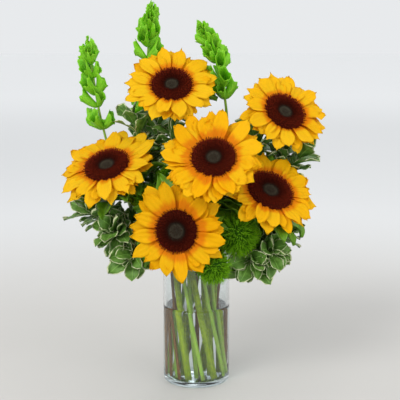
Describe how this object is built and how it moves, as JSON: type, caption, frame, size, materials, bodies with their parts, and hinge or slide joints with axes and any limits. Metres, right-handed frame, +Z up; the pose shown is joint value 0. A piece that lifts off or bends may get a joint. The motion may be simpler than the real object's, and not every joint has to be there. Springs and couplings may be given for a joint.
{
  "type": "sunflowers in a vase",
  "caption": "clear glass cylinder vase of water holding a loose hand-tied bunch of sunflowers, bells of Ireland, green dianthus balls and variegated pittosporum leaves",
  "frame": {"origin": "middle of the vase's foot, on the table", "axes": "+Z up, -Y to the front the picture shows, +X to the picture's right"},
  "size_m": [0.3936, 0.2645, 0.5714],
  "materials": {
    "glass": "clear polished glass with a faint green cast at the thick foot",
    "water": "clear water",
    "petals": "matt golden-yellow petal",
    "disc": "dark maroon florets, fuzzy",
    "stem": "green stem and bracts, softly hairy",
    "bells": "bright green papery cups",
    "dianthus": "green feathery tufts",
    "pittosporum": "leathery green leaf with a cream margin"
  },
  "bodies": {
    "root": {"vase": "glass", "sunflower_centre_stem": "stem", "sunflower_centre_disc": "disc", "sunflower_centre_petals": "petals", "sunflower_right_stem": "stem", "sunflower_right_disc": "disc", "sunflower_right_petals": "petals", "sunflower_front_stem": "stem", "sunflower_front_disc": "disc", "sunflower_front_petals": "petals", "sunflower_left_stem": "stem", "sunflower_left_disc": "disc", "sunflower_left_petals": "petals", "sunflower_top_stem": "stem", "sunflower_top_disc": "disc", "sunflower_top_petals": "petals", "sunflower_upper_right_stem": "stem", "sunflower_upper_right_disc": "disc", "sunflower_upper_right_petals": "petals", "bells_left": "bells", "bells_middle": "bells", "bells_right": "bells", "dianthus_right": "dianthus", "dianthus_front": "dianthus", "dianthus_left": "dianthus", "dianthus_inner": "dianthus", "pittosporum_left": "pittosporum", "pittosporum_right": "pittosporum", "pittosporum_upper_left": "pittosporum", "pittosporum_upper_right": "pittosporum", "pittosporum_centre": "pittosporum", "pittosporum_back_left": "pittosporum", "pittosporum_back_right": "pittosporum", "water": "water"}
  },
  "joints": []
}
